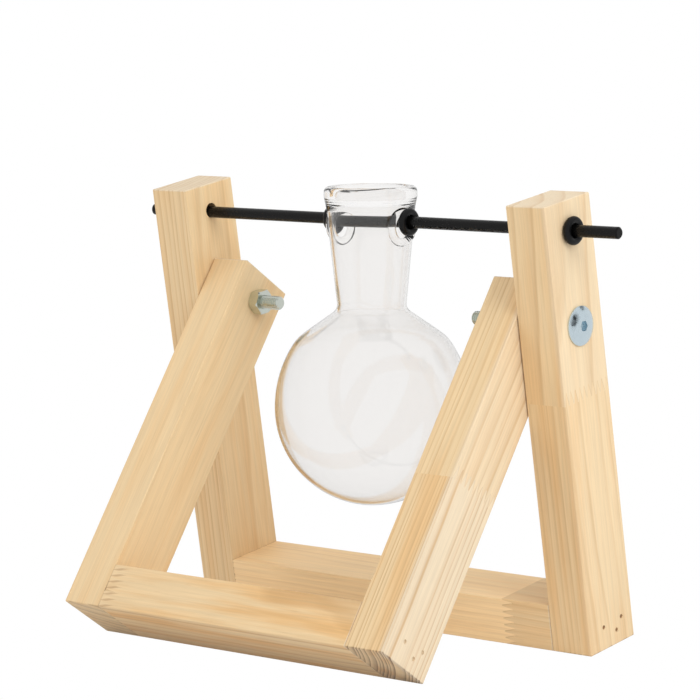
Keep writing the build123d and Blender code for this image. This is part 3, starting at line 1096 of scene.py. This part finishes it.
def area_lamp(name, place, power, shade):
    """A soft square lamp turned towards the vase."""
    lamp = bpy.data.lights.new(name, "AREA")
    lamp.size = LAMP_SIDE
    lamp.energy = power
    lamp.color = shade
    holder = bpy.data.objects.new(name, lamp)
    holder.location = place
    holder.rotation_euler = (LAMP_TARGET - Vector(place)).to_track_quat("-Z", "Y").to_euler()
    holder.visible_glossy = False
    holder.visible_transmission = False
    bpy.context.scene.collection.objects.link(holder)


class VASE_OT_stage(bpy.types.Operator):
    """Set up the floor, the light and the camera"""

    bl_idname = "vase.stage"
    bl_label = "Set The Stage"

    def execute(self, context):
        settings = context.scene.vase_stage
        self.floor(settings)
        self.world(context, settings)
        self.lamps(settings)
        self.camera(context, settings)
        context.scene.view_settings.view_transform = "Standard"
        return {"FINISHED"}

    def floor(self, settings):
        """A white floor that keeps the vase's shadow in its light."""
        floor = primitive("plane", "floor", size=settings.floor_size, location=(0, 0, 0))
        material = bpy.data.materials.new("White floor")
        material.use_nodes = True
        tree = material.node_tree
        tree.nodes.clear()
        lit = add_node(tree, "ShaderNodeBsdfDiffuse", {"Color": FLOOR_WHITE})
        strength = seen_strength(tree, MIRRORED_WHITE)
        white = add_node(tree, "ShaderNodeEmission", {"Color": WHITE, "Strength": strength})
        surface = backdrop_light(tree, white.outputs[0], lit.outputs[0])
        feed(tree, tree.nodes.new("ShaderNodeOutputMaterial").inputs["Surface"], surface)
        floor.data.materials.append(material)

    def world(self, context, settings):
        """A white room with even light."""
        world = bpy.data.worlds.new("Studio")
        context.scene.world = world
        world.use_nodes = True
        tree = world.node_tree
        tree.nodes.clear()
        lit = add_node(tree, "ShaderNodeBackground", {"Color": WHITE, "Strength": settings.sky_light})
        strength = self.mirrored_room(tree)
        white = add_node(tree, "ShaderNodeBackground", {"Color": WHITE, "Strength": strength})
        surface = backdrop_light(tree, white.outputs[0], lit.outputs[0])
        feed(tree, tree.nodes.new("ShaderNodeOutputWorld").inputs["Surface"], surface)

    def mirrored_room(self, tree):
        """The white sky's strength, which only mirrors see broken by the room's dark corners."""
        direction = tree.nodes.new("ShaderNodeTexCoord").outputs["Generated"]
        dark = 0.0
        for axis, reach, darkness in DARK_CORNERS:
            closeness = vectors(tree, "DOT_PRODUCT", direction, Vector(axis).normalized(), out="Value")
            edge = math.cos(math.radians(reach))
            core = math.cos(math.radians(reach * DARK_CORE))
            dark = maths(tree, "MAXIMUM", dark, between(tree, closeness, edge, core, 0.0, darkness))
        return seen_strength(tree, maths(tree, "MULTIPLY_ADD", dark, -MIRRORED_WHITE, MIRRORED_WHITE))

    def lamps(self, settings):
        """Two soft lamps, a little cooler than white."""
        area_lamp("Key lamp", (0.85, -0.15, 0.75), settings.key_power, (0.92, 0.97, 1.0))
        area_lamp("Fill lamp", (-0.75, -0.8, 0.5), settings.fill_power, (0.97, 0.98, 1.0))

    def camera(self, context, settings):
        """The camera, from the right of the front."""
        turn = Matrix.Rotation(settings.camera_azimuth, 3, "Z")
        turn = turn @ Matrix.Rotation(math.radians(90) - settings.camera_elevation, 3, "X")
        turn = turn @ Matrix.Rotation(settings.camera_roll, 3, "Z")
        shift = Vector((-settings.aim_right, -settings.aim_up, settings.camera_distance))
        camera = bpy.data.cameras.new("Camera")
        camera.lens = settings.lens
        camera.clip_end = 10
        holder = bpy.data.objects.new("Camera", camera)
        holder.matrix_world = Matrix.LocRotScale(Vector(settings.aim) + turn @ shift, turn.to_euler(), None)
        context.scene.collection.objects.link(holder)
        context.scene.camera = holder


class VASE_PT_panel(bpy.types.Panel):
    """Lists the steps that finish the vase"""

    bl_label = "Propagation Vase"
    bl_idname = "VASE_PT_panel"
    bl_space_type = "VIEW_3D"
    bl_region_type = "UI"
    bl_category = "Vase"

    def draw(self, context):
        for step in STEPS:
            self.layout.operator(step.bl_idname)
        for name in SETTINGS:
            settings = getattr(context.scene, name)
            box = self.layout.box()
            for key in settings.__annotations__:
                box.prop(settings, key)


SETTINGS = {
    "vase_pine": PineSettings,
    "vase_metal": MetalSettings,
    "vase_glass": GlassSettings,
    "vase_stage": StageSettings,
}
STEPS = [VASE_OT_pine, VASE_OT_small_parts, VASE_OT_pivot_bolts, VASE_OT_flask, VASE_OT_stage]


def register():
    """Add the settings, steps and panel."""
    for group in SETTINGS.values():
        bpy.utils.register_class(group)
    for name, group in SETTINGS.items():
        setattr(bpy.types.Scene, name, bpy.props.PointerProperty(type=group))
    for step in [*STEPS, VASE_PT_panel]:
        bpy.utils.register_class(step)


def unregister():
    """Take them away again."""
    for step in [VASE_PT_panel, *reversed(STEPS)]:
        bpy.utils.unregister_class(step)
    for name, group in SETTINGS.items():
        delattr(bpy.types.Scene, name)
        bpy.utils.unregister_class(group)


def main():
    """Finish the vase, step by step."""
    register()
    bpy.ops.vase.pine()
    bpy.ops.vase.small_parts()
    bpy.ops.vase.pivot_bolts()
    bpy.ops.vase.flask()
    bpy.ops.vase.stage()


if __name__ == "__main__":
    main()
